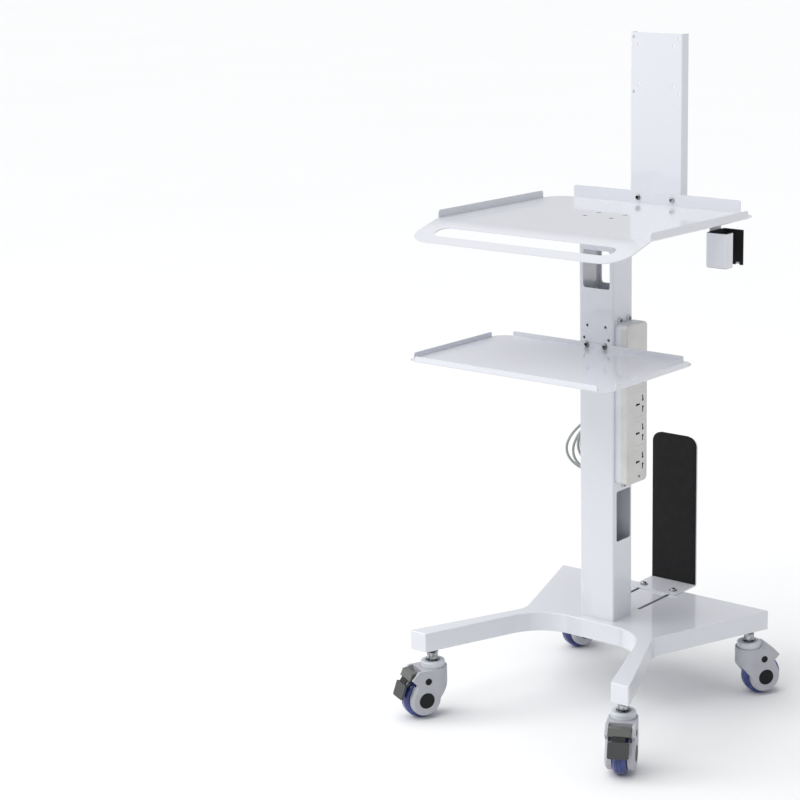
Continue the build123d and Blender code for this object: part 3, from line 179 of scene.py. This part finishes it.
def moulded(name, color, roughness, grain=1400.0, depth=0.00012, coat=0.0, shine=0.5):
    """Moulded plastic with a fine spark-eroded grain."""
    s = Shader(name, color, roughness, Coat_Weight=coat, Coat_Roughness=0.2)
    s.set("Specular IOR Level", shine)
    s.tint(s.ramp(s.noise(38.0, 4.0), 0.0, 1.0), 0.92)
    s.vary_roughness(s.noise(grain / 3, 3.0), roughness * 0.85, roughness * 1.15)
    s.bump(s.noise(grain, 2.0), 0.35, depth)
    return s.material


def foam():
    """Matt black foam rubber: small open pores in a slightly dusty skin."""
    s = Shader("black_foam", (0.0075, 0.0075, 0.008), 0.86)
    s.set("Specular IOR Level", 0.35)
    pores = s.node("TexVoronoi", Scale=700.0)
    s.link(s.coordinates, pores.inputs["Vector"])
    s.tint(s.ramp(s.noise(60.0, 5.0), 0.0, 1.0), 1.5)
    s.bump(pores.outputs["Distance"], 0.4, 0.0003)
    return s.material


def polyurethane():
    """Deep blue polyurethane tyre: glossy, a little translucent and mottled."""
    s = Shader("tyre_blue", (0.012, 0.024, 0.125), 0.22, Coat_Weight=0.35, Coat_Roughness=0.12)
    s.set("Subsurface Weight", 0.15)
    s.set("Subsurface Radius", (0.001, 0.002, 0.004))
    s.tint(s.ramp(s.noise(90.0, 3.0), 0.0, 1.0, 0.4, 0.6), 1.9)
    s.vary_roughness(s.noise(150.0, 3.0), 0.14, 0.26)
    s.bump(s.noise(700.0, 2.0), 0.12, 0.0002)
    return s.material


def sheath():
    """Satin grey cord sheath, faintly mottled, with a fine grain."""
    s = Shader("cord_grey", (0.36, 0.375, 0.37), 0.36)
    s.tint(s.ramp(s.noise(55.0, 5.0), 0.0, 1.0), 0.86)
    s.vary_roughness(s.noise(220.0, 3.0), 0.34, 0.52)
    s.bump(s.noise(1800.0, 2.0), 0.25, 0.0001)
    return s.material


def lens():
    """Small unlit pilot lamp with a clear red lens."""
    s = Shader("lamp_red", (0.30, 0.035, 0.025), 0.15, Coat_Weight=0.6)
    s.set("Transmission Weight", 0.3)
    s.tint(s.ramp(s.noise(500.0, 2.0), 0.0, 1.0), 0.7)
    return s.material


MATERIALS = {
    "white_coat": powder_coat(),
    "zinc": zinc(),
    "ring_plastic": moulded("ring_plastic", (0.60, 0.625, 0.665), 0.38),
    "black_foam": foam(),
    "strip_white": moulded("strip_white", (0.72, 0.735, 0.775), 0.34, 1100.0, 0.00008, 0.2),
    "strip_grey": moulded("strip_grey", (0.66, 0.655, 0.635), 0.40, 1100.0, 0.00010, 0.1),
    "lamp_red": lens(),
    "cord_grey": sheath(),
    "plug_grey": moulded("plug_grey", (0.055, 0.056, 0.058), 0.45),
    "black_plastic": moulded("black_plastic", (0.006, 0.0065, 0.008), 0.42, shine=0.22),
    "caster_grey": moulded("caster_grey", (0.44, 0.445, 0.485), 0.44, 1000.0, 0.0002),
    "hub_grey": moulded("hub_grey", (0.42, 0.43, 0.47), 0.40, 1000.0, 0.0002),
    "tyre_blue": polyurethane(),
    "pedal_grey": moulded("pedal_grey", (0.045, 0.046, 0.048), 0.50, 1300.0, 0.0002),
}
PEDAL_METAL = moulded("pedal_metal", (0.105, 0.108, 0.102), 0.36, 900.0, 0.00015, 0.2)
# painted shade: a near black put inside the socket holes and in the pedal's recess, where shade falls
PAINTED_SHADE_BLACK = moulded("painted_shade_black", (0.006, 0.006, 0.007), 0.7)
PIN_METAL = moulded("pin_metal", (0.72, 0.66, 0.50), 0.24, 1800.0, 0.00005)
PIN_METAL.node_tree.nodes["Principled BSDF"].inputs["Metallic"].default_value = 1.0

for name, node in frame["nodes"].items():
    node.data.materials.clear()
    node.data.materials.append(MATERIALS[SLOT_OF[name]])

# ---------------------------------------------------------------- mesh helpers


def new_piece(name, mesh, body, slot):
    """Link a mesh as a piece that rides on a body and takes its finish from a slot."""
    piece = bpy.data.objects.new(name, mesh)
    scene.collection.objects.link(piece)
    if not mesh.materials:
        mesh.materials.append(MATERIALS[slot])
    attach(piece, body)
    return piece


def finished(node, width, segments=2, sharp=30.0):
    """A copy of a CAD node with its sharp edges rounded, which stands for the node."""
    bm = bmesh.new()
    bm.from_mesh(frame["nodes"][node].data)
    bmesh.ops.remove_doubles(bm, verts=bm.verts, dist=2e-6)
    bmesh.ops.dissolve_limit(bm, angle_limit=radians(0.2), verts=bm.verts, edges=bm.edges)
    for face in bm.faces:
        face.smooth = True
    mesh = bpy.data.meshes.new(node + "_finished")
    bm.to_mesh(mesh)
    bm.free()
    draft = bpy.data.objects.new("draft", mesh)
    scene.collection.objects.link(draft)
    bevel = draft.modifiers.new("edges", "BEVEL")
    bevel.width, bevel.segments = width, segments
    bevel.limit_method, bevel.angle_limit = "ANGLE", radians(sharp)
    weighted = draft.modifiers.new("shading", "WEIGHTED_NORMAL")
    weighted.weight, weighted.keep_sharp = 100, True
    draft.modifiers.new("corners", "TRIANGULATE").keep_custom_normals = True
    bpy.context.view_layer.update()
    shaped = bpy.data.meshes.new_from_object(draft.evaluated_get(bpy.context.evaluated_depsgraph_get()))
    bpy.data.objects.remove(draft)
    piece = new_piece(node + "_finished", shaped, BODY_OF[node], SLOT_OF[node])
    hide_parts(node)
    return piece


def turned_rings(bm, profile, centre, axis, sides):
    """Adds a closed ring of (radius, distance along the axis) points turned about an axis."""
    along = Vector(axis).normalized()
    across = along.orthogonal().normalized()
    other = along.cross(across)
    rings = []
    for radius, height in profile:
        ring = []
        for k in range(sides):
            angle = 2 * pi * k / sides
            spoke = across * cos(angle) + other * sin(angle)
            ring.append(bm.verts.new(Vector(centre) + along * height + spoke * radius))
        rings.append(ring)
    new_faces = []
    for a, b in zip(rings, rings[1:] + rings[:1]):
        for k in range(sides):
            n = (k + 1) % sides
            new_faces.append(bm.faces.new((a[k], a[n], b[n], b[k])))
    for face in new_faces:
        face.smooth = True
    bmesh.ops.recalc_face_normals(bm, faces=new_faces)


def mesh_piece(name, bm, body, slot, sharp=32.0):
    """Turns a bmesh into a piece, with creases where its faces meet at more than the sharp angle."""
    mesh = bpy.data.meshes.new(name)
    bm.to_mesh(mesh)
    bm.free()
    mesh.set_sharp_from_angle(angle=radians(sharp))
    return new_piece(name, mesh, body, slot)


def turned(name, profile, centre, axis, body, slot, sides):
    """A piece that is one ring of points turned about an axis."""
    bm = bmesh.new()
    turned_rings(bm, profile, centre, axis, sides)
    return mesh_piece(name, bm, body, slot)


def wire(bm, path, radius, sides=8):
    """A round wire along a list of points, with flat ends."""
    points = [Vector(p) for p in path]
    side = (points[1] - points[0]).orthogonal().normalized()
    rings = []
    for i, point in enumerate(points):
        along = (points[min(i + 1, len(points) - 1)] - points[max(i - 1, 0)]).normalized()
        side = (side - along * side.dot(along)).normalized()
        up = along.cross(side)
        rings.append([
            bm.verts.new(point + (side * cos(2 * pi * k / sides) + up * sin(2 * pi * k / sides)) * radius)
            for k in range(sides)
        ])
    for a, b in zip(rings, rings[1:]):
        for k in range(sides):
            n = (k + 1) % sides
            bm.faces.new((a[k], a[n], b[n], b[k])).smooth = True
    bm.faces.new(rings[0][::-1])
    bm.faces.new(rings[-1])


def paint(piece, material, where):
    """Give the faces whose centre passes a test another material."""
    piece.data.materials.append(material)
    for face in piece.data.polygons:
        if where(face.center):
            face.material_index = len(piece.data.materials) - 1


# ---------------------------------------------------------------- power cord
CORD_D = 5.0
LEAD_ROUTE = [(4, 54, 640), (4, 82, 640), (3, 102, 618), (5, 100, 588), (4, 84, 563), (-19, 63, 547)]
TAIL_ROUTE = [(-30, 37, 448), (-8, 41, 437), (2, 45, 414), (4, 47, 386)]
TURNS, POINTS_A_TURN = 4.5, 16
COIL_X, COIL_LEAN, COIL_TOP = -45.0, 15.0, 545.0  # middle, lean of the top to the right, tied height
COIL_Y, COIL_PITCH = 59.0, 5.3  # the first turn lies furthest from the column
# half width, lowest point and drop shape of each turn, where it starts
TURN_SHAPES = ((84, 420, 0.45), (64, 412, 0.42), (54, 430, 0.25), (38, 448, 0.0), (36, 450, 0.0))


def coil_point(turn):
    """A point of the coil, turn counted from the tie: drop-shaped turns that get smaller."""
    index = min(int(turn), len(TURN_SHAPES) - 2)
    share = min(turn - index, 1.0)
    half, low, drop = (
        a * (1 - share) + b * share for a, b in zip(TURN_SHAPES[index], TURN_SHAPES[index + 1])
    )
    angle = pi / 2 + 2 * pi * turn
    x = COIL_X + COIL_LEAN * sin(angle) + half * cos(angle) * (1 - drop * sin(angle))
    z = (COIL_TOP + low) / 2 + (COIL_TOP - low) / 2 * sin(angle)
    return x, COIL_Y - COIL_PITCH * turn, z


def make_cord():
    """The whole cord as one curve: down from the gland, round the coil, out to the plug."""
    steps = int(TURNS * POINTS_A_TURN)
    route = LEAD_ROUTE + [coil_point(i / POINTS_A_TURN) for i in range(steps + 1)] + TAIL_ROUTE
    curve = bpy.data.curves.new("power_cord", "CURVE")
    curve.dimensions = "3D"
    spline = curve.splines.new("NURBS")
    spline.points.add(len(route) - 1)
    for point, place in zip(spline.points, route):
        point.co = (*[value * MM for value in place], 1.0)
    spline.order_u = 3
    spline.use_endpoint_u = True
    spline.resolution_u = 8
    curve.bevel_depth = CORD_D / 2 * MM
    curve.bevel_resolution = 5
    curve.materials.append(MATERIALS["cord_grey"])
    cord = bpy.data.objects.new("power_cord", curve)
    scene.collection.objects.link(cord)
    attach(cord, "frame")
    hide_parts("cord_lead", "cord_coil", "cord_tail")
    return cord


def ribbed_gland():
    """Strain relief: a flange, then a tapering sleeve with ribs, turned about the cord's exit."""
    low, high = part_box("cord_gland")
    centre = Vector(((low.x + high.x) / 2, 0, (low.z + high.z) / 2))
    flange_r, neck_r, tip_r = (high.x - low.x) / 2, 5.5 * MM, 3.8 * MM
    bore_r, shank_r = 3.0 * MM, 5.4 * MM
    wall, tip, ribs = 30.0 * MM, high.y, 6
    start = wall + 2.5 * MM
    profile = [(bore_r, low.y), (shank_r, low.y), (shank_r, wall), (flange_r - 0.4 * MM, wall)]
    profile += [(flange_r, wall + 0.4 * MM), (flange_r, wall + 2.0 * MM), (flange_r - 0.6 * MM, start)]
    step = (tip - start) / ribs
    for i in range(ribs):
        outer = neck_r + (tip_r - neck_r) * i / (ribs - 1)
        y = start + i * step
        profile += [(outer - 0.9 * MM, y), (outer - 0.9 * MM, y + 0.35 * step), (outer, y + 0.45 * step)]
        profile += [(outer, y + 0.9 * step), (outer - 0.3 * MM, y + step)]
    profile += [(2.6 * MM, tip)]
    gland = turned("cord_gland_ribbed", profile, centre, (0, 1, 0), "frame", "black_plastic", 40)
    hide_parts("cord_gland")
    return gland


cord = make_cord()
gland = ribbed_gland()
tie = finished("cord_tie", 0.3 * MM)
plug = finished("power_plug", 0.35 * MM)
PIN_LENGTH = 20.0
PLUG_FACE_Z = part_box("power_plug")[0].z + PIN_LENGTH * MM
paint(plug, PIN_METAL, lambda c: c.z < PLUG_FACE_Z - 0.2 * MM)

# ---------------------------------------------------------------- sheet metal
for node, width in (
    ("base_shell", 0.6),
    ("base_bottom_plate", 0.4),
    ("column", 0.4),
    ("column_top_plate", 0.4),
    ("top_tray", 0.45),
    ("lower_tray", 0.45),
    ("monitor_plate", 0.4),
    ("probe_holder", 0.4),
    ("rear_bracket", 0.5),
):
    finished(node, width * MM)

# ---------------------------------------------------------------- fasteners and plastics
for node, width in (
    ("top_tray_screws", 0.2),
    ("lower_tray_bolts", 0.3),
    ("monitor_plate_bolts", 0.3),
    ("rear_bracket_bolts", 0.25),
    ("probe_holder_screws", 0.2),
    ("power_strip_screws", 0.2),
    ("caster_stems", 0.4),
    ("caster_rings", 0.5),
    ("power_strip_housing", 0.8),
    ("power_strip_cover", 0.5),
    ("cord_tie_mount", 0.3),
):
    finished(node, width * MM, 3)

sockets = finished("power_strip_sockets", 0.3 * MM)
SOCKET_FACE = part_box("power_strip_sockets")[1].x
HOLE_DEPTH = 1.2  # faces further in than this are inside the holes
# painted shade: the insides of the socket holes painted near black
paint(sockets, PAINTED_SHADE_BLACK, lambda c: c.x < SOCKET_FACE - HOLE_DEPTH * MM)

# ---------------------------------------------------------------- foam


def foam_pad():
    """The bracket's pad: a foam sheet, crowned and slightly uneven, its skin pulled in at the edges."""
    low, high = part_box("rear_pad")
    half, corner = (high.x - low.x) / 2, 20.0 * MM
    columns, rows = 40, 110
    edge_loss, edge_reach, uneven, waves_a_metre = 1.1 * MM, 3.0 * MM, 0.22 * MM, 60
    bm = bmesh.new()
    grid = []
    for j in range(rows + 1):
        z = low.z + (high.z - low.z) * j / rows
        into = max(0.0, z - (high.z - corner))
        width = half - corner + max(0.0, corner * corner - into * into) ** 0.5
        row = []
        for i in range(columns + 1):
            x = width * (2 * i / columns - 1)
            to_edge = min(width - abs(x), z - low.z, high.z - z)
            wave = noise.noise(Vector((x * waves_a_metre, z * waves_a_metre, 3.0)))
            loss = edge_loss * exp(-to_edge / edge_reach) + uneven * (0.6 + wave)
            row.append((x, low.y + loss, z))
        grid.append(row)
    front = [[bm.verts.new(p) for p in row] for row in grid]
    back = [[bm.verts.new((x, high.y, z)) for x, _, z in row] for row in grid]
    for j in range(rows):
        for i in range(columns):
            bm.faces.new((front[j][i], front[j][i + 1], front[j + 1][i + 1], front[j + 1][i]))
            bm.faces.new((back[j][i], back[j + 1][i], back[j + 1][i + 1], back[j][i + 1]))
    rim = [(0, i) for i in range(columns)] + [(j, columns) for j in range(rows)]
    rim += [(rows, i) for i in range(columns, 0, -1)] + [(j, 0) for j in range(rows, 0, -1)]
    for (j0, i0), (j1, i1) in zip(rim, rim[1:] + rim[:1]):
        bm.faces.new((front[j0][i0], back[j0][i0], back[j1][i1], front[j1][i1]))
    for face in bm.faces:
        face.smooth = True
    bmesh.ops.recalc_face_normals(bm, faces=bm.faces)
    pad = mesh_piece("rear_pad_foam", bm, BODY_OF["rear_pad"], "black_foam", 50.0)
    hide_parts("rear_pad")


foam_pad()
finished("probe_holder_lining", 0.9 * MM, 3)

# ---------------------------------------------------------------- casters
JOINT_OF = {joint["name"]: joint for joint in frame["joints"]}
CAP_R, PLUG_R, CAP_PROUD, CAP_DEPTH = 15.0, 6.5, 0.4, 3.0
CAP_EYE, PLUG_EYE = 0.8, 1.3  # radius of the small pit in the middle
WHEEL_R, RIM_R, TYRE_HALF = 37.5, 28.5, 12.3
TREAD_ROUND, MOULD_LINE_DEPTH, MOULD_LINES = 8.0, 0.35, (3.2, -3.2)
CAP_SIDES, TYRE_SIDES = 56, 96
TAB_DEPTH = 15.5  # the pedal's metal tab, down from the pedal's top
RECESS_TOP, RECESS_BOTTOM, RECESS_HALF = 12.0, 22.0, 11.3  # the recess at the tab's foot, painted near black as painted shade
SPRING_R, SPRING_WIRE_R, SPRING_LEG = 4.6, 0.55, 9.0
SPRING_TURNS, SPRING_STEPS = 3, 20  # points in each turn
SPRING_START, SPRING_PITCH = 15.9, 1.35  # along the pin, from its middle


def dished_cap(bm, centre, axis, radius, eye):
    """A pressed-in cover: a rounded rim, a shallow step and a slightly raised middle with an eye."""
    core, top, dish, eye_floor = 0.4, CAP_PROUD, CAP_PROUD - 0.15, CAP_PROUD - 0.8
    profile = [(core, -CAP_DEPTH), (radius, -CAP_DEPTH), (radius, top - 0.25), (radius - 0.3, top)]
    profile += [(radius * 0.86, top), (radius * 0.83, top - 0.3), (radius * 0.5, top - 0.2)]
    profile += [(radius * 0.3, dish), (eye, dish), (eye * 0.85, eye_floor), (core, eye_floor)]
    turned_rings(bm, [(r * MM, height * MM) for r, height in profile], centre, axis, CAP_SIDES)


def caster_details(corner):
    """One caster's housing, hub, dished caps and crowned tyre, and on the front ones the brake."""
    name = "caster_" + corner
    swivel, wheel = "swivel_" + corner, "wheel_" + corner
    finished(name + "_housing", 1.1 * MM, 3)
    finished(name + "_hub", 0.6 * MM)

    axle = JOINT_OF[wheel]
    axis, centre = Vector(axle["axis"]).normalized(), Vector(axle["pos_m"])
    housing_half = housing_width(name, axis, centre)
    bm = bmesh.new()
    for end in (-1, 1):
        face = centre + axis * end * housing_half
        dished_cap(bm, face, axis * end, CAP_R, CAP_EYE)
        dished_cap(bm, face + plug_place(name, axis, centre, end), axis * end, PLUG_R, PLUG_EYE)
    caps = mesh_piece(name + "_caps_dished", bm, swivel, "black_plastic")
    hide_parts(name + "_caps")

    tyre = turned(name + "_tyre_crowned", tyre_profile(), centre, axis, wheel, "tyre_blue", TYRE_SIDES)
    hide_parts(name + "_tyre")
    if corner.startswith("front"):
        brake_details(name, corner, axis)


def tyre_profile():
    """A crowned tread with two fine mould lines, and rounded shoulders down to the rim."""
    profile = [(RIM_R, -TYRE_HALF), (RIM_R, TYRE_HALF)]
    shoulder = []
    for k in range(10):
        angle = pi / 2 * k / 9
        radius = WHEEL_R - TREAD_ROUND + TREAD_ROUND * sin(angle)
        shoulder.append((radius, TYRE_HALF - TREAD_ROUND + TREAD_ROUND * cos(angle)))
    profile += shoulder
    bottom = WHEEL_R - MOULD_LINE_DEPTH
    for line in MOULD_LINES:
        profile += [(WHEEL_R, line + 0.4), (bottom, line + 0.2)]
        profile += [(bottom, line - 0.2), (WHEEL_R, line - 0.4)]
    profile += [(radius, -width) for radius, width in reversed(shoulder)]
    return [(radius * MM, width * MM) for radius, width in profile]


def housing_width(name, axis, centre):
    """Half the housing's width along the axle, from its mesh."""
    vertices = frame["nodes"][name + "_housing"].data.vertices
    return max((vertex.co - centre).dot(axis) for vertex in vertices)


def plug_place(name, axis, centre, end):
    """From the axle to the middle of the small plug on one side, in the face's own plane."""
    above_cap = (CAP_R + 2.0) * MM  # what stands higher than this is the plug
    vertices = [vertex.co - centre for vertex in frame["nodes"][name + "_caps"].data.vertices]
    plug = [v for v in vertices if v.z > above_cap and v.dot(axis) * end > 0]
    middle = sum(plug, Vector()) / len(plug)
    low, high = min(v.z for v in plug), max(v.z for v in plug)
    flat = middle - axis * middle.dot(axis)
    return Vector((flat.x, flat.y, (low + high) / 2))


def brake_details(name, corner, axis):
    """The pedal with its metal release tab, and a torsion spring beside each end of its sleeve."""
    pedal = finished(name + "_pedal", 0.6 * MM, 3)
    top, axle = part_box(name + "_pedal")[1].z, Vector(JOINT_OF["wheel_" + corner]["pos_m"])

    def in_painted_shade(c):
        deep = top - RECESS_BOTTOM * MM < c.z < top - RECESS_TOP * MM
        return deep and abs((c - axle).dot(axis)) < RECESS_HALF * MM

    paint(pedal, PEDAL_METAL, lambda c: c.z > top - TAB_DEPTH * MM)
    # painted shade: the recess at the tab's foot painted near black
    paint(pedal, PAINTED_SHADE_BLACK, in_painted_shade)

    pin, up = Vector(JOINT_OF["brake_" + corner]["pos_m"]), Vector((0, 0, 1))
    outward = pin - axle
    outward = Vector((outward.x, outward.y, 0)).normalized()
    bm = bmesh.new()
    for end in (-1, 1):
        path = []
        for k in range(SPRING_TURNS * SPRING_STEPS + 1):
            angle = 2 * pi * k / SPRING_STEPS
            spoke = outward * cos(angle) + up * sin(angle)
            along = (SPRING_START + SPRING_PITCH * k / SPRING_STEPS) * MM
            path.append(pin + axis * end * along + spoke * SPRING_R * MM)
        leg = path[0] + (outward * 0.5 - up * 0.86) * SPRING_LEG * MM
        wire(bm, [leg] + path, SPRING_WIRE_R * MM)
    mesh_piece(name + "_brake_springs", bm, "swivel_" + corner, "zinc")


for corner in ("front_left", "front_right", "rear_left", "rear_right"):
    caster_details(corner)

# ---------------------------------------------------------------- stage and light


def make_floor():
    """A matt white floor that runs far past the picture."""
    bpy.ops.mesh.primitive_plane_add(size=120)
    floor = bpy.context.object
    floor.name = "floor"
    s = Shader("floor_white", (0.84, 0.84, 0.843), 0.7)
    s.tint(s.ramp(s.noise(0.8, 3.0), 0.0, 1.0), 0.99)
    floor.data.materials.append(s.material)


def softbox(name, place, target, size, power):
    """A rectangular lamp turned towards a point."""
    data = bpy.data.lights.new(name, "AREA")
    data.shape, data.size, data.size_y = "RECTANGLE", size[0], size[1]
    data.energy = power
    light = bpy.data.objects.new(name, data)
    scene.collection.objects.link(light)
    light.location = place
    light.rotation_mode = "QUATERNION"
    light.rotation_quaternion = (Vector(target) - Vector(place)).to_track_quat("-Z", "Y")


def window_light(name, direction, strength, softness, color):
    """Soft light from above and one side, the same over the whole floor."""
    data = bpy.data.lights.new(name, "SUN")
    data.energy, data.angle, data.color = strength, radians(softness), color
    light = bpy.data.objects.new(name, data)
    scene.collection.objects.link(light)
    light.rotation_mode = "QUATERNION"
    light.rotation_quaternion = Vector(direction).to_track_quat("-Z", "Y")


def studio_world(color, strength, seen):
    """Soft light from all round, with a white backdrop where the floor ends."""
    world = bpy.data.worlds.new("studio")
    scene.world = world
    world.use_nodes = True
    tree = world.node_tree
    light = tree.nodes["Background"]
    light.inputs["Color"].default_value = (*color, 1.0)
    light.inputs["Strength"].default_value = strength
    backdrop = tree.nodes.new("ShaderNodeBackground")
    backdrop.inputs["Color"].default_value = (1.0, 1.0, 1.0, 1.0)
    backdrop.inputs["Strength"].default_value = seen
    mix = tree.nodes.new("ShaderNodeMixShader")
    tree.links.new(tree.nodes.new("ShaderNodeLightPath").outputs["Is Camera Ray"], mix.inputs["Fac"])
    tree.links.new(light.outputs["Background"], mix.inputs[1])
    tree.links.new(backdrop.outputs["Background"], mix.inputs[2])
    tree.links.new(mix.outputs["Shader"], tree.nodes["World Output"].inputs["Surface"])


make_floor()
studio_world((0.96, 0.975, 1.0), 0.58, 0.98)
window_light("key", (0.30, 0.42, -0.90), 2.35, 75.0, (1.0, 0.995, 0.98))
softbox("strip_light", (-3.4, -2.2, 2.2), (0, 0, 0.7), (1.2, 3.0), 30)

scene.view_settings.view_transform = "Standard"
